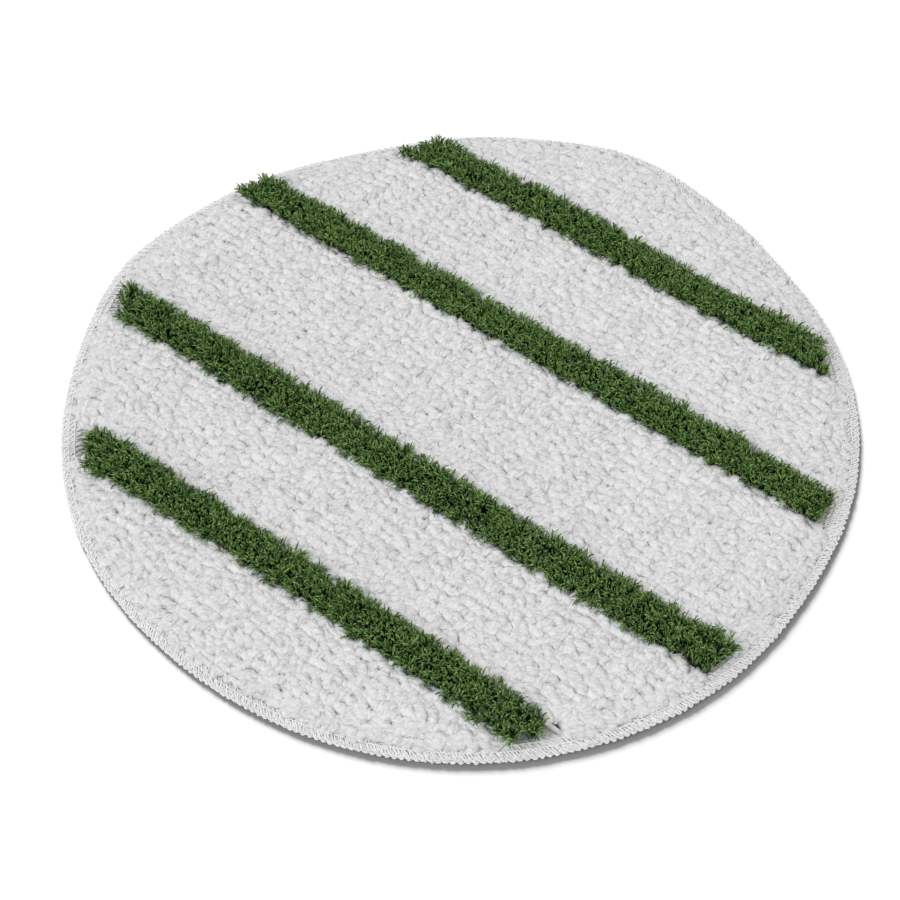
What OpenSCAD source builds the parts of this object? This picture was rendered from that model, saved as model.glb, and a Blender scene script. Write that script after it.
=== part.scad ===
// Round carpet bonnet: a tufted pad that spins under a floor machine.
// Looped yarn rows and four cut-pile scrub strips are stitched through a
// woven cloth, and an overlocked edge closes the rim. The pad lies pile up
// on its back face, the strips run along X, and the origin is the centre
// of the back face.

/* [Pad] */
// Diameter over the overlocked edge
pad_d = 482.6; // [430:0.2:560]
// Shift of the tufted pattern along the strips
pattern_shift_x = 2.3; // [-6:0.1:6]
// Shift of the tufted pattern across the strips
pattern_shift_y = 4.5; // [-6:0.1:6]

/* [Cloth] */
// Thickness of the woven backing cloth
cloth_t = 1.2; // [0.8:0.1:2]
// Height of the back stitches under the cloth
stitch_t = 1.2; // [0.8:0.1:2]
// Width of one back stitch row
stitch_w = 5.2; // [4:0.1:5.6]

/* [Loop pile] */
// Distance from one yarn row to the next
row_pitch = 6.95; // [6.6:0.05:7.6]
// Distance from one loop to the next along a row
loop_pitch = 13.6; // [12:0.1:16]
// Outside radius of the arch that a loop bends in
loop_r = 7; // [6.4:0.1:8]
// Height of the looped pile over the cloth
loop_h = 10.4; // [9:0.1:13]
// Width of one yarn row
yarn_w = 6.3; // [5:0.1:6.4]

/* [Scrub strips] */
// Yarn rows from the pattern's middle to an inner strip
inner_strip_row = 9; // [7:1:11]
// Yarn rows from the pattern's middle to an outer strip
outer_strip_row = 23; // [20:1:24]
// Height of the cut pile over the cloth
strand_h = 13.6; // [12:0.1:16]
// Width of a strand at its foot
strand_foot = 3.4; // [2:0.1:3.6]
// Width of a strand at its tip
strand_tip = 1.5; // [0.8:0.1:2]
// Thickness of a strand across its row
strand_t = 3.2; // [2:0.1:4]
// Distance from one strand to the next along a row
strand_pitch = 9.8; // [9.4:0.1:12]
// Sideways lean of a strand's tip
strand_lean = 1.2; // [0:0.1:1.4]
// How much shorter than the rest the shortest strand is
strand_ragged = 1.6; // [0:0.1:2.4]
// Height of the packed tuft feet that a strip's strands rise from
foot_h = 2.4; // [1:0.1:4]
// Width of one row of tuft feet
foot_w = 5.8; // [5:0.1:6.4]

/* [Edge binding] */
// Width of the overlocked edge
binding_w = 10; // [7:0.1:13]
// Thickness of the looper threads on the cloth's two faces
looper_t = 1.2; // [0.8:0.1:2]
// Rounding of the overlocked edge
binding_round = 1; // [0.4:0.1:1.1]
// Diameter of the two needle threads
needle_d = 0.9; // [0.6:0.1:1.2]
// Distance from the binding's inner side to the inner needle thread
needle_inset = 1.2; // [0.8:0.1:2]
// Distance between the two needle threads
needle_gap = 3.6; // [2:0.1:4]
// Gap between the pile and the binding
pile_gap = 0.5; // [0.3:0.1:2]

/* [Hidden] */
$fn = 96;

// Levels over the surface that the pad lies on
cloth_z = stitch_t;
pile_z = cloth_z + cloth_t;
mid_cloth_z = cloth_z + cloth_t / 2;

// Radii
pad_r = pad_d / 2;
cloth_r = pad_r - looper_t;
pile_r = pad_r - binding_w - pile_gap;

// A strip takes the middle row and one on each side of it
strip_side_rows = 1;
// The strips and bands are numbered from the +Y side to the -Y side
strip_rows = [outer_strip_row, inner_strip_row, -inner_strip_row, -outer_strip_row];
// The end rows stop this far short of the pile's rim, so that none is a stub
end_row_margin = 0.6;
row_reach = pile_r - yarn_w / 2 - end_row_margin;
last_row = floor((row_reach - pattern_shift_y) / row_pitch);
first_row = -floor((row_reach + pattern_shift_y) / row_pitch);
band_top_rows = [last_row, for (r = strip_rows) r - strip_side_rows - 1];
band_end_rows = [for (r = strip_rows) r + strip_side_rows + 1, first_row];

// Height of a row's solid foot, under the arches
loop_foot = loop_h - loop_r;
// Shares of a full turn that spread the strands' lean and height
lean_turn = 137;
ragged_turn = 83;
// How far each row's strands are moved along from the last row's
stagger = strand_pitch / 3;
// Sides of a needle thread
needle_sides = 8;

// Place of a yarn row across the strips
function row_y(row) = row * row_pitch + pattern_shift_y;

// Half the length of a row w wide that ends inside radius r
function half_chord(row, w, r) = sqrt(r ^ 2 - (abs(row_y(row)) + w / 2) ^ 2);

// A bar along a row, from z up by h
module row_bar(row, w, z, h, r) {
    half = half_chord(row, w, r);
    translate([-half, row_y(row) - w / 2, z])
        cube([2 * half, w, h]);
}

// Side view of one row of loops: arches side by side, cut at the row's ends
module loop_outline(half) {
    first = ceil((-half - pattern_shift_x - loop_r) / loop_pitch + 0.02);
    last = floor((half - pattern_shift_x + loop_r) / loop_pitch - 0.02);
    intersection() {
        union() {
            translate([-half - loop_r, 0])
                square([2 * (half + loop_r), loop_foot]);
            for (i = [first : last])
                translate([i * loop_pitch + pattern_shift_x, loop_foot])
                    circle(r = loop_r);
        }
        translate([-half, 0])
            square([2 * half, loop_h + 1]);
    }
}

// One row of looped yarn, standing on the cloth
module loop_row(row) {
    half = half_chord(row, yarn_w, pile_r);
    translate([0, row_y(row) + yarn_w / 2, pile_z])
        rotate([90, 0, 0])
            linear_extrude(yarn_w)
                loop_outline(half);
}

module pile_band(band) {
    color("whitesmoke")
        for (row = [band_end_rows[band] : band_top_rows[band]])
            loop_row(row);
}

module band_back_stitch(band) {
    color("gainsboro")
        for (row = [band_end_rows[band] : band_top_rows[band]])
            row_bar(row, stitch_w, 0, stitch_t, pile_r);
}

// The four corners of a strand, from the foot's left side over the tip
function strand_points(i, x) =
    let (lean = strand_lean * sin(i * lean_turn))
    let (h = strand_h - strand_ragged * (1 + sin(i * ragged_turn)) / 2)
    [
        [x - strand_foot / 2, foot_h],
        [x + lean - strand_tip / 2, h],
        [x + lean + strand_tip / 2, h],
        [x + strand_foot / 2, foot_h]
    ];

// Side view of one row of a scrub strip: strands that rise from packed feet
module strand_outline(half, stagger_x) {
    room = half - strand_foot / 2 - strand_lean;
    first = ceil((-room - stagger_x) / strand_pitch);
    last = floor((room - stagger_x) / strand_pitch);
    strands = [
        for (i = [first : last])
            each strand_points(i, i * strand_pitch + stagger_x)
    ];
    polygon([[-half, 0], [-half, foot_h], each strands, [half, foot_h], [half, 0]]);
}

// One row of a scrub strip; the middle of its thickness carries the strands
module strand_row(row, stagger_x) {
    half = half_chord(row, foot_w, pile_r);
    row_bar(row, foot_w, pile_z, foot_h, pile_r);
    translate([0, row_y(row) + strand_t / 2, pile_z])
        rotate([90, 0, 0])
            linear_extrude(strand_t)
                strand_outline(half, stagger_x);
}

module scrub_strip(strip) {
    color("darkgreen")
        for (side = [-strip_side_rows : strip_side_rows])
            strand_row(strip_rows[strip] + side, side * stagger);
}

module strip_back_stitch(strip) {
    color("seagreen")
        for (side = [-strip_side_rows : strip_side_rows])
            row_bar(strip_rows[strip] + side, stitch_w, 0, stitch_t, pile_r);
}

module backing_cloth() {
    color("ivory")
        translate([0, 0, cloth_z])
            cylinder(r = cloth_r, h = cloth_t);
}

// Half of the edge's section: a layer on the cloth that turns over its rim,
// drawn upwards from the middle of the cloth
module binding_section() {
    cover = cloth_t / 2;
    top = cover + looper_t;
    difference() {
        union() {
            translate([pad_r - binding_w, 0])
                square([binding_w - binding_round, top]);
            translate([pad_r - binding_round * 2, 0])
                square([binding_round * 2, top - binding_round]);
            translate([pad_r - binding_round, top - binding_round])
                circle(r = binding_round);
        }
        translate([pad_r - binding_w - 1, -1])
            square([cloth_r - pad_r + binding_w + 1, cover + 1]);
        translate([pad_r - binding_w, -binding_round * 2])
            square([binding_w + 1, binding_round * 2]);
    }
}

module upper_looper_thread() {
    color("white")
        translate([0, 0, mid_cloth_z])
            rotate_extrude()
                binding_section();
}

module lower_looper_thread() {
    color("white")
        translate([0, 0, mid_cloth_z])
            mirror([0, 0, 1])
                rotate_extrude()
                    binding_section();
}

// A needle thread laid on the upper looper thread, on a flat side
module needle_thread(r) {
    flat_turn = 180 / needle_sides;
    translate([0, 0, pile_z + looper_t + needle_d / 2 * cos(flat_turn)])
        rotate_extrude()
            translate([r, 0])
                rotate(flat_turn)
                    circle(d = needle_d, $fn = needle_sides);
}

module outer_needle_thread() {
    color("snow")
        needle_thread(pad_r - binding_w + needle_inset + needle_gap);
}

module inner_needle_thread() {
    color("snow")
        needle_thread(pad_r - binding_w + needle_inset);
}

backing_cloth();
pile_band(0);  // pile_band_1
pile_band(1);  // pile_band_2
pile_band(2);  // pile_band_3
pile_band(3);  // pile_band_4
pile_band(4);  // pile_band_5
scrub_strip(0);  // scrub_strip_1
scrub_strip(1);  // scrub_strip_2
scrub_strip(2);  // scrub_strip_3
scrub_strip(3);  // scrub_strip_4
band_back_stitch(0);  // band_back_stitch_1
band_back_stitch(1);  // band_back_stitch_2
band_back_stitch(2);  // band_back_stitch_3
band_back_stitch(3);  // band_back_stitch_4
band_back_stitch(4);  // band_back_stitch_5
strip_back_stitch(0);  // strip_back_stitch_1
strip_back_stitch(1);  // strip_back_stitch_2
strip_back_stitch(2);  // strip_back_stitch_3
strip_back_stitch(3);  // strip_back_stitch_4
upper_looper_thread();
lower_looper_thread();
outer_needle_thread();
inner_needle_thread();
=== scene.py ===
"""Round carpet bonnet: looped white pile with green scrub strips, lying pile up.

The pad's yarns, cloth and overlock threads are made one by one in mesh code,
flat and round at first, and then laid down with the slight waves that the
real pad has. Lengths are in metres.
"""

from __future__ import annotations

import logging
import math
from collections.abc import Callable
from dataclasses import dataclass, field, replace
from enum import Enum

import bpy
import numpy as np
from mathutils import Matrix, Vector


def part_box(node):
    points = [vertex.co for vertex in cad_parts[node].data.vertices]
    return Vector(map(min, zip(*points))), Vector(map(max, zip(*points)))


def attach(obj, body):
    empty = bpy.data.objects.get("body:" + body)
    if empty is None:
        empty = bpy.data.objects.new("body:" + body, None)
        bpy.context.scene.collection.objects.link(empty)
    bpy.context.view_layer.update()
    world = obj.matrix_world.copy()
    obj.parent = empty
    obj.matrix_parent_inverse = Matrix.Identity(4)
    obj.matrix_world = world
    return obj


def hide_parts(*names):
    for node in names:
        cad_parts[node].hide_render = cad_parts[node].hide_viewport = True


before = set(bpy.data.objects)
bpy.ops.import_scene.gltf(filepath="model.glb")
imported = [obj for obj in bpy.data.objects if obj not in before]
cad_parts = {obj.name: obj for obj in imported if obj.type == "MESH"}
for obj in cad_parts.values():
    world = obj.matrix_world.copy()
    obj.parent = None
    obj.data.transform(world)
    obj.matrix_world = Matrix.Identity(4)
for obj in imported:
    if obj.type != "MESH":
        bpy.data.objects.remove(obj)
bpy.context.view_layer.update()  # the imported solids, which every piece here is fitted to

LOG = logging.getLogger("bonnet")
MM = 0.001
UP = np.array([0.0, 0.0, 1.0])
ACROSS = np.array([0.0, 1.0, 0.0])
BODY = "root"

# Maps and vertex values that the finishes read
YARN_MAP = "yarn"
BAKE_MAP = "OFBake"
TONE = "tone"
RISE = "rise"

# What every yarn's and thread's finish shares
DRIFT_PATCHES = 38.0  # scale of the patches in which the colour drifts, a metre
FULL_RISE = 0.92  # share of a strand's height at which the root colour painted on its low parts is gone
STRANDS_APART = 57.0  # how far apart two strands' fibres are drawn, by their tones
FIBRE_LOW, FIBRE_HIGH = 0.35, 0.65  # the fibres' bump heights between which the painted shade turns to painted highlight


# ---------------------------------------------------------------- mesh code


@dataclass
class Draft:
    """Faces, maps and vertex values of one piece, gathered before its mesh is made."""

    corners: list[np.ndarray] = field(default_factory=list)
    faces: list[np.ndarray] = field(default_factory=list)
    yarn_uv: list[np.ndarray] = field(default_factory=list)
    bake_uv: list[np.ndarray] = field(default_factory=list)
    tones: list[np.ndarray] = field(default_factory=list)
    rises: list[np.ndarray] = field(default_factory=list)
    count: int = 0

    def add_points(self, points: np.ndarray, tone: np.ndarray, rise: np.ndarray) -> int:
        """Add points with their vertex values.

        Args:
            points: Corner places, n by 3.
            tone: Random tone of each point's strand, 0 to 1.
            rise: Height of each point on its strand, 0 at the root to 1.

        Returns:
            The index of the first of them.
        """
        start = self.count
        self.corners.append(points)
        self.tones.append(tone)
        self.rises.append(rise)
        self.count += len(points)
        return start

    def add_faces(self, faces: np.ndarray, yarn_uv: np.ndarray, bake_uv: np.ndarray) -> None:
        """Add faces that all have the same number of corners.

        Args:
            faces: Point indices, one row a face.
            yarn_uv: Place round and along the yarn, one pair a face corner.
            bake_uv: Place on the bake's map, one pair a face corner.
        """
        self.faces.append(faces)
        self.yarn_uv.append(yarn_uv.reshape(-1, 2))
        self.bake_uv.append(bake_uv.reshape(-1, 2))

    def piece(self, name: str, lie: Lie) -> bpy.types.Object:
        """Make the piece, laid down as the pad lies.

        Args:
            name: Name of the new object.
            lie: The shape that the flat pad takes.

        Returns:
            The new object, smooth shaded and with its maps.
        """
        mesh = bpy.data.meshes.new(name)
        places = lie.lay(np.concatenate(self.corners))
        polygons = [row for batch in self.faces for row in batch.tolist()]
        mesh.from_pydata(places.tolist(), [], polygons)
        for label, batches in ((YARN_MAP, self.yarn_uv), (BAKE_MAP, self.bake_uv)):
            layer = mesh.uv_layers.new(name=label)
            layer.data.foreach_set("uv", np.concatenate(batches).astype(np.float32).ravel())
        for label, batches in ((TONE, self.tones), (RISE, self.rises)):
            values = mesh.attributes.new(label, "FLOAT", "POINT")
            values.data.foreach_set("value", np.concatenate(batches).astype(np.float32))
        mesh.shade_smooth()
        mesh.update()
        piece = bpy.data.objects.new(name, mesh)
        bpy.context.scene.collection.objects.link(piece)
        return piece


def map_cells(count: int, local: np.ndarray, margin: float = 0.08) -> np.ndarray:
    """Spread one strand's map over a square grid with a cell for each strand.

    Args:
        count: Number of strands.
        local: The strand's own map, any shape that ends in a pair.
        margin: Share of a cell left free on each side.

    Returns:
        The maps of all the strands, with the strand as the first axis.
    """
    across = math.ceil(math.sqrt(count))
    index = np.arange(count)
    corner = np.stack([index % across, index // across], 1)
    corner = corner.reshape((count,) + (1,) * (local.ndim - 1) + (2,))
    inside = margin + local[None] * (1 - 2 * margin)
    return (corner + inside) / across


def add_tubes(
    draft: Draft, rings: np.ndarray, tone: np.ndarray, rise: np.ndarray, capped: bool = True
) -> None:
    """Add tubes, one for each row of rings.

    Args:
        draft: The piece that the tubes go into.
        rings: Points as tube, ring, side, 3.
        tone: Tone of each tube.
        rise: Height share of each ring, either ring or tube by ring.
        capped: Whether the two ends are closed.
    """
    count, length, sides, _ = rings.shape
    heights = np.broadcast_to(rise, (count, length)).reshape(-1)
    start = draft.add_points(
        rings.reshape(-1, 3), np.repeat(tone, length * sides), np.repeat(heights, sides)
    )
    starts = start + np.arange(count)[:, None, None] * (length * sides)
    ring = np.arange(length - 1)[:, None]
    side = np.arange(sides)[None, :]
    near, far = ring * sides, (ring + 1) * sides
    after = (side + 1) % sides
    quads = np.stack([near + side, near + after, far + after, far + side], -1).reshape(-1, 4)
    shape = (length - 1, sides, 4)
    around = np.broadcast_to(np.stack([side, side + 1, side + 1, side], -1) / sides, shape)
    along = np.broadcast_to(np.stack([ring, ring, ring + 1, ring + 1], -1) / (length - 1), shape)
    local = np.stack([around, along], -1).reshape(-1, 4, 2)
    yarn = np.broadcast_to(local, (count,) + local.shape)
    draft.add_faces((quads[None] + starts).reshape(-1, 4), yarn, map_cells(count, local))
    if not capped:
        return
    # The two ends' maps are small discs just under and just over the tube's own map
    turn = np.arange(sides) / sides * 2 * math.pi
    disc = np.stack([0.5 + 0.04 * np.cos(turn), 0.04 * np.sin(turn)], 1)
    foot, tip = np.arange(sides)[::-1], np.arange(sides) + (length - 1) * sides
    ends = np.stack([disc[::-1] - (0, 0.045), disc + (0, 1.045)])
    faces = (np.stack([foot, tip])[None] + starts).reshape(-1, sides)
    draft.add_faces(faces, np.broadcast_to(ends, (count,) + ends.shape), map_cells(count, ends))


def sweep(path: np.ndarray, out: np.ndarray, radius: np.ndarray, sides: int) -> np.ndarray:
    """Sweep a round section along many paths at once.

    Args:
        path: Points as path, ring, 3.
        out: A direction away from each path, which needn't be square to it.
        radius: Section radius, of a shape that fits path, ring.
        sides: Sides of the section.

    Returns:
        The rings as path, ring, side, 3.
    """
    ahead = np.gradient(path, axis=1)
    ahead /= np.linalg.norm(ahead, axis=2, keepdims=True)
    up = out - ahead * (out * ahead).sum(2, keepdims=True)
    up /= np.linalg.norm(up, axis=2, keepdims=True)
    across = np.cross(ahead, up)
    turn = (np.arange(sides) / sides * 2 * math.pi)[None, None, :, None]
    section = np.cos(turn) * up[:, :, None] + np.sin(turn) * across[:, :, None]
    return path[:, :, None] + section * np.asarray(radius)[..., None, None]


# ---------------------------------------------------------------- the pad's shape


@dataclass(frozen=True)
class Wave:
    """A place on the rim where the cloth swells out, or draws in, and lifts."""

    angle: float  # degrees from +X
    reach: float  # outward
    lift: float  # upward
    width: float  # degrees to where it has faded


@dataclass
class Lie:
    """How the flat, round pad lies on the floor."""

    radius: float
    waves: tuple[Wave, ...]
    lift_from: float = 0.62  # share of the radius inside which the pad stays flat

    def lay(self, points: np.ndarray) -> np.ndarray:
        """Move points of the flat pad to where they lie.

        Args:
            points: Places on the flat pad, n by 3.

        Returns:
            Their places on the lying pad.
        """
        share = np.hypot(points[:, 0], points[:, 1]) / self.radius
        angle = np.degrees(np.arctan2(points[:, 1], points[:, 0]))
        reach = np.zeros(len(points))
        lift = np.zeros(len(points))
        for wave in self.waves:
            off = (angle - wave.angle + 180) % 360 - 180
            swell = np.exp(-((off / wave.width) ** 2))
            reach += wave.reach * swell
            lift += wave.lift * swell
        ramp = np.clip((share - self.lift_from) / (1 - self.lift_from), 0, 1.2)
        out = points.copy()
        stretch = 1 + reach / self.radius * share**4
        out[:, :2] *= stretch[:, None]
        out[:, 2] += lift * ramp**2
        return out


RIM_WAVES = (
    Wave(99, 7.6 * MM, 0.8 * MM, 12.5),
    Wave(143, -7.7 * MM, 0.0 * MM, 16),
    Wave(188, 6.0 * MM, 0.8 * MM, 13),
    Wave(5, -2.8 * MM, 0.0 * MM, 15),
    Wave(66, -2.8 * MM, 0.0 * MM, 10),
    Wave(265, -3.2 * MM, 0.0 * MM, 22),
    Wave(325, 2.1 * MM, 0.0 * MM, 32),
)


@dataclass
class Rows:
    """The yarn rows of one node: their places, and how far each one runs."""

    node: str
    pile_radius: float
    pitch: float
    width: float  # of one row's solid
    overlap: float  # of the pile on the edge threads

    def places(self) -> np.ndarray:
        """Return the rows' places across the strips, from the lowest up."""
        low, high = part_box(self.node)
        count = round((high[1] - low[1] - self.width) / self.pitch) + 1
        return low[1] + self.width / 2 + np.arange(count) * self.pitch

    def reach(self, y: float) -> float:
        """Return half the length of the row at y."""
        return math.sqrt((self.pile_radius + self.overlap) ** 2 - y**2)

    def cells(
        self, pitch: float, shift: float, least: float, places: np.ndarray | None = None
    ) -> np.ndarray:
        """Divide each row into stitches on one lattice, with short ones at its ends.

        Args:
            pitch: Length of a whole stitch.
            shift: Place of the lattice along the rows.
            least: Length of the shortest end stitch; a shorter one joins the next.
            places: The rows' places across the strips, the node's own if none are given.

        Returns:
            Middle, place across and length of each stitch, n by 3.
        """
        cells = []
        for y in self.places() if places is None else places:
            half = self.reach(y)
            first = math.ceil((-half + least - shift) / pitch - 0.5)
            last = math.floor((half - least - shift) / pitch + 0.5)
            cuts = (np.arange(first, last + 2) - 0.5) * pitch + shift
            cuts[0], cuts[-1] = -half, half
            for start, end in zip(cuts, cuts[1:]):
                cells.append(((start + end) / 2, y, end - start))
        return np.array(cells)


# ---------------------------------------------------------------- finishes


NodeInput = float | tuple[float, ...] | bpy.types.NodeSocket
Filler = Callable[[bpy.types.NodeTree], None]


def fill_inputs(
    tree: bpy.types.NodeTree, node: bpy.types.Node, inputs: dict[str, NodeInput]
) -> None:
    """Set a node's inputs, or link them where an output socket is given.

    Args:
        tree: The tree that the node is in.
        node: The node.
        inputs: Values or output sockets by input name, with _ for a space, or by
            number as in0, in1.
    """
    for key, value in inputs.items():
        numbered = key[:2] == "in" and key[2:].isdigit()
        socket = node.inputs[int(key[2:]) if numbered else key.replace("_", " ")]
        if isinstance(value, bpy.types.NodeSocket):
            tree.links.new(value, socket)
        else:
            socket.default_value = value


def add_node(
    tree: bpy.types.NodeTree,
    kind: str,
    settings: dict[str, str | bool] | None = None,
    **inputs: NodeInput,
) -> bpy.types.Node:
    """Add a shader node and fill its inputs.

    Args:
        tree: The tree that the node goes into.
        kind: The node's type without the word ShaderNode.
        settings: Properties of the node.
        inputs: Values or output sockets, as fill_inputs takes them.

    Returns:
        The node.
    """
    node = tree.nodes.new("ShaderNode" + kind)
    for key, value in (settings or {}).items():
        setattr(node, key, value)
    fill_inputs(tree, node, inputs)
    return node


def add_group(
    tree: bpy.types.NodeTree, name: str, build: Filler, output: str, **inputs: NodeInput
) -> bpy.types.NodeSocket:
    """Place a shared node group, which is built the first time, with its own values.

    Args:
        tree: The material's tree.
        name: Name of the group.
        build: Function that fills a new, empty group.
        output: Name of the output that is wanted.
        inputs: Values or output sockets, as fill_inputs takes them.

    Returns:
        The output.
    """
    if name not in bpy.data.node_groups:
        build(bpy.data.node_groups.new(name, "ShaderNodeTree"))
    node = tree.nodes.new("ShaderNodeGroup")
    node.node_tree = bpy.data.node_groups[name]
    fill_inputs(tree, node, inputs)
    return node.outputs[output]


def group_ends(
    tree: bpy.types.NodeTree, takes: dict[str, str], gives: tuple[str, str]
) -> tuple[bpy.types.NodeOutputs, bpy.types.NodeSocket]:
    """Give a new group its named inputs and its output.

    Args:
        tree: The group.
        takes: Kind of each input by its name.
        gives: Name and kind of the output.

    Returns:
        The inputs as the group's inside sees them, and the socket for its result.
    """
    for label, kind in takes.items():
        tree.interface.new_socket(label, in_out="INPUT", socket_type="NodeSocket" + kind)
    tree.interface.new_socket(gives[0], in_out="OUTPUT", socket_type="NodeSocket" + gives[1])
    given = tree.nodes.new("NodeGroupInput").outputs
    return given, tree.nodes.new("NodeGroupOutput").inputs[gives[0]]


def calculate(
    tree: bpy.types.NodeTree, operation: str, *values: NodeInput, clamp: bool = False
) -> bpy.types.NodeSocket:
    """Add a Math node.

    Args:
        tree: The tree that it goes into.
        operation: What it does.
        values: What it does it with.
        clamp: Whether the result is kept between 0 and 1.

    Returns:
        The result.
    """
    inputs = {f"in{i}": value for i, value in enumerate(values)}
    settings = {"operation": operation, "use_clamp": clamp}
    return add_node(tree, "Math", settings, **inputs).outputs[0]


def blend(
    tree: bpy.types.NodeTree, share: NodeInput, first: NodeInput, second: NodeInput
) -> bpy.types.NodeSocket:
    """Return a blend of two colours, which is all the second where the share is 1."""
    colours = {"in6": first, "in7": second}
    return add_node(tree, "Mix", {"data_type": "RGBA"}, in0=share, **colours).outputs[2]


def fill_strand_tones(tree: bpy.types.NodeTree) -> None:
    """Fill the group that colours a strand by its tone, paints its low parts with the root colour
    by its height (painted light on the looped yarn, painted shade on the scrub fibres) and paints
    shade and highlights that follow the fibres' bump.

    Args:
        tree: The empty group.
    """
    colours = dict.fromkeys(("Light", "Shade", "Root"), "Color")
    values = dict.fromkeys(("Tone", "Rise", "Drift", "Streaks"), "Float")
    takes = {**colours, **values, "Place": "Vector"}
    given, result = group_ends(tree, takes, ("Colour", "Color"))
    patches = add_node(
        tree, "TexNoise", Vector=given["Place"], Scale=DRIFT_PATCHES, Detail=2.0, Roughness=0.5
    ).outputs["Fac"]
    drifted = calculate(tree, "MULTIPLY", patches, given["Drift"])
    # Painted shade and highlight that follow the fibres' bump
    toned = calculate(tree, "ADD", drifted, given["Tone"], clamp=True)
    with_fibre_shading = calculate(tree, "ADD", toned, given["Streaks"], clamp=True)
    body = blend(tree, with_fibre_shading, given["Light"], given["Shade"])
    # The root colour on a strand's low parts is painted light on the looped yarn, standing in for
    # light between the loops, and painted shade at the scrub fibres' feet
    up = add_node(
        tree,
        "MapRange",
        {"interpolation_type": "SMOOTHSTEP"},
        Value=given["Rise"],
        From_Min=0.0,
        From_Max=FULL_RISE,
    )
    tree.links.new(blend(tree, up.outputs[0], given["Root"], body), result)


def fill_fibres(tree: bpy.types.NodeTree) -> None:
    """Fill the group that draws fine fibres along a yarn, from its own map.

    Args:
        tree: The empty group.
    """
    takes = {"Map": "Vector", "Around": "Float", "Along": "Float", "Seed": "Float"}
    given, result = group_ends(tree, takes, ("Height", "Float"))
    stretch = add_node(tree, "CombineXYZ", X=given["Around"], Y=given["Along"], Z=0.0)
    scaled = add_node(
        tree, "VectorMath", {"operation": "MULTIPLY"}, in0=given["Map"], in1=stretch.outputs[0]
    )
    apart = calculate(tree, "MULTIPLY", given["Seed"], STRANDS_APART)
    offset = add_node(tree, "CombineXYZ", X=0.0, Y=0.0, Z=apart)
    moved = add_node(
        tree, "VectorMath", {"operation": "ADD"}, in0=scaled.outputs[0], in1=offset.outputs[0]
    )
    noise = add_node(
        tree, "TexNoise", Vector=moved.outputs[0], Scale=1.0, Detail=3.0, Roughness=0.6
    )
    tree.links.new(noise.outputs["Fac"], result)


def fill_weave(tree: bpy.types.NodeTree) -> None:
    """Fill the group that draws a plain weave of warp and weft threads.

    Args:
        tree: The empty group.
    """
    takes = {"Place": "Vector", "Threads": "Float"}
    given, result = group_ends(tree, takes, ("Height", "Float"))
    scaled = add_node(
        tree, "VectorMath", {"operation": "SCALE"}, in0=given["Place"], Scale=given["Threads"]
    )
    axes = add_node(tree, "SeparateXYZ", Vector=scaled.outputs[0]).outputs
    warp, weft = (
        calculate(tree, "SINE", calculate(tree, "MULTIPLY", axis, math.pi)) for axis in axes[:2]
    )
    over = calculate(tree, "MULTIPLY", warp, weft)
    top = add_node(tree, "MapRange", Value=over, From_Min=-0.25, From_Max=0.25).outputs[0]
    rounds = [calculate(tree, "ABSOLUTE", side) for side in (warp, weft)]
    height = add_node(tree, "Mix", {"data_type": "FLOAT"}, in0=top, in2=rounds[0], in3=rounds[1])
    tree.links.new(height.outputs[0], result)


def new_material(name: str) -> tuple[bpy.types.Material, bpy.types.Node, bpy.types.NodeSocket]:
    """Make a new material.

    Args:
        name: Its name.

    Returns:
        The material, its shader and the place on the object.
    """
    material = bpy.data.materials.new(name)
    material.use_nodes = True
    tree = material.node_tree
    place = add_node(tree, "TexCoord").outputs["Object"]
    return material, tree.nodes["Principled BSDF"], place


@dataclass(frozen=True)
class StrandFinish:
    """Finish of a yarn, a thread or cut fibres."""

    name: str
    light: tuple[float, float, float]
    shade: tuple[float, float, float]
    # root: colour painted on a strand's low parts: painted light where it is lighter than the
    # strand, painted shade where it is darker
    root: tuple[float, float, float]
    tone_share: float  # how much the strands differ
    drift: float  # how much the colour drifts over the pad
    streaks: float  # how far the colour darkens where the fibres' bump is low and lightens where it is high: painted shade and highlight
    around: float  # fibres round the yarn
    along: float  # fibres' breaks along a stitch
    bump: float
    roughness: float
    sheen: float
    specular: float

    def material(self) -> bpy.types.Material:
        """Build the material from the finish's own values.

        Returns:
            The material.
        """
        material, shader, place = new_material(self.name)
        tree = material.node_tree
        tone = add_node(tree, "Attribute", {"attribute_name": TONE}).outputs["Fac"]
        rise = add_node(tree, "Attribute", {"attribute_name": RISE}).outputs["Fac"]
        yarn = add_node(tree, "UVMap", {"uv_map": YARN_MAP}).outputs["UV"]
        height = add_group(
            tree,
            "yarn fibres",
            fill_fibres,
            "Height",
            Map=yarn,
            Seed=tone,
            Around=self.around,
            Along=self.along,
        )
        # Painted shade in the low parts of the fibres' bump and painted highlight on its high parts
        streaks = add_node(
            tree,
            "MapRange",
            Value=height,
            From_Min=FIBRE_LOW,
            From_Max=FIBRE_HIGH,
            To_Min=self.streaks,
            To_Max=-self.streaks,
        )
        colour = add_group(
            tree,
            "strand tones",
            fill_strand_tones,
            "Colour",
            Light=(*self.light, 1.0),
            Shade=(*self.shade, 1.0),
            Root=(*self.root, 1.0),
            Tone=calculate(tree, "MULTIPLY", tone, self.tone_share),
            Rise=rise,
            Place=place,
            Drift=self.drift,
            Streaks=streaks.outputs[0],
        )
        bump = add_node(tree, "Bump", Strength=1.0, Distance=self.bump, Height=height)
        surface = {
            "Base_Color": colour,
            "Normal": bump.outputs[0],
            "Roughness": self.roughness,
            "Sheen_Weight": self.sheen,
            "Specular_IOR_Level": self.specular,
        }
        fill_inputs(tree, shader, surface)
        return material


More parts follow.
